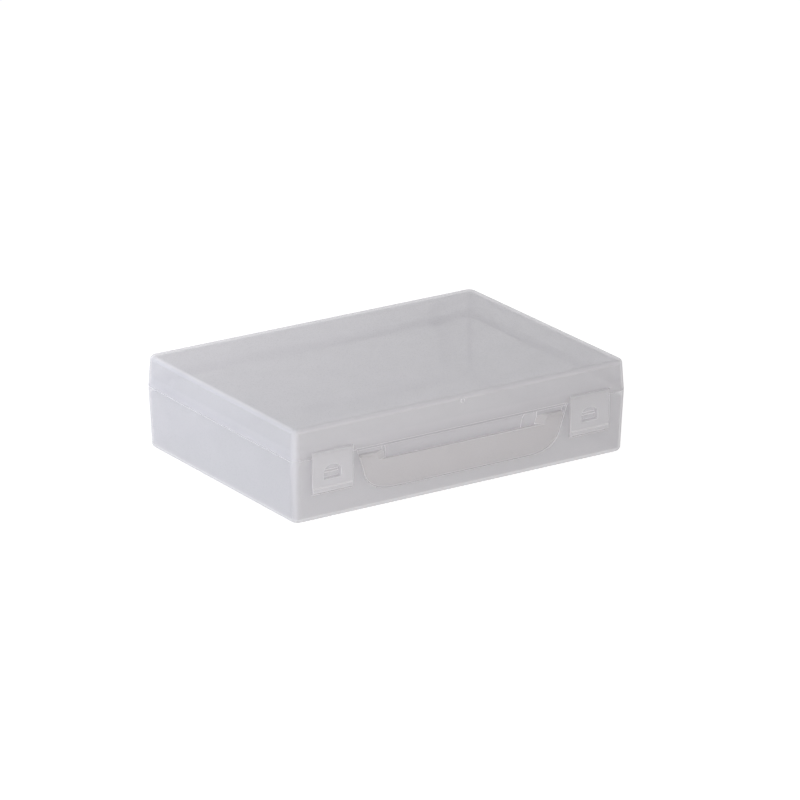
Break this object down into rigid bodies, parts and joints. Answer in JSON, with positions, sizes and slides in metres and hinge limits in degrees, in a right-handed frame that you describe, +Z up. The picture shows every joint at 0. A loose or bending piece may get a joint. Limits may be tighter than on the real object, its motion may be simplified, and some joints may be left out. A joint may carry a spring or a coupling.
{
  "type": "transit case",
  "caption": "Flat carrying case in milky translucent plastic with a hinged lid, a folding carrying handle in a front pocket and snap latches beside it.",
  "frame": {"origin": "on the ground under the middle of the closed case, hinge knuckles included", "axes": "+Z up through the lid, +X along the front wall to the right of someone facing the latches, -Y towards that person"},
  "size_m": [0.34, 0.2476, 0.084],
  "materials": {
    "base": "milky translucent, semi-gloss",
    "lid": "milky translucent, semi-gloss",
    "handle": "milky translucent, semi-gloss",
    "latches": "milky translucent, semi-gloss",
    "pins": "milky translucent, smooth"
  },
  "bodies": {
    "base": {"base_shell": "base", "left_hinge_pin": "pins", "right_hinge_pin": "pins"},
    "lid": {"lid_shell": "lid", "left_latch_pin": "pins", "right_latch_pin": "pins"},
    "handle": {"handle": "handle", "left_handle_pin": "pins", "right_handle_pin": "pins"},
    "left_latch": {"left_latch": "latches"},
    "right_latch": {"right_latch": "latches"}
  },
  "joints": [
    {"name": "lid_hinge", "type": "hinge", "parent": "base", "child": "lid", "pos_m": [0, 0.12025, 0.056], "axis": [-1, 0, 0], "range_deg": [0, 180]},
    {"name": "handle_pivot", "type": "hinge", "parent": "base", "child": "handle", "pos_m": [0, -0.12095, 0.0475], "axis": [-1, 0, 0], "range_deg": [0, 145]},
    {"name": "left_latch_pivot", "type": "hinge", "parent": "lid", "child": "left_latch", "pos_m": [-0.131, -0.12125, 0.0587], "axis": [-1, 0, 0], "range_deg": [0, 95]},
    {"name": "right_latch_pivot", "type": "hinge", "parent": "lid", "child": "right_latch", "pos_m": [0.131, -0.12125, 0.0587], "axis": [-1, 0, 0], "range_deg": [0, 95]}
  ]
}
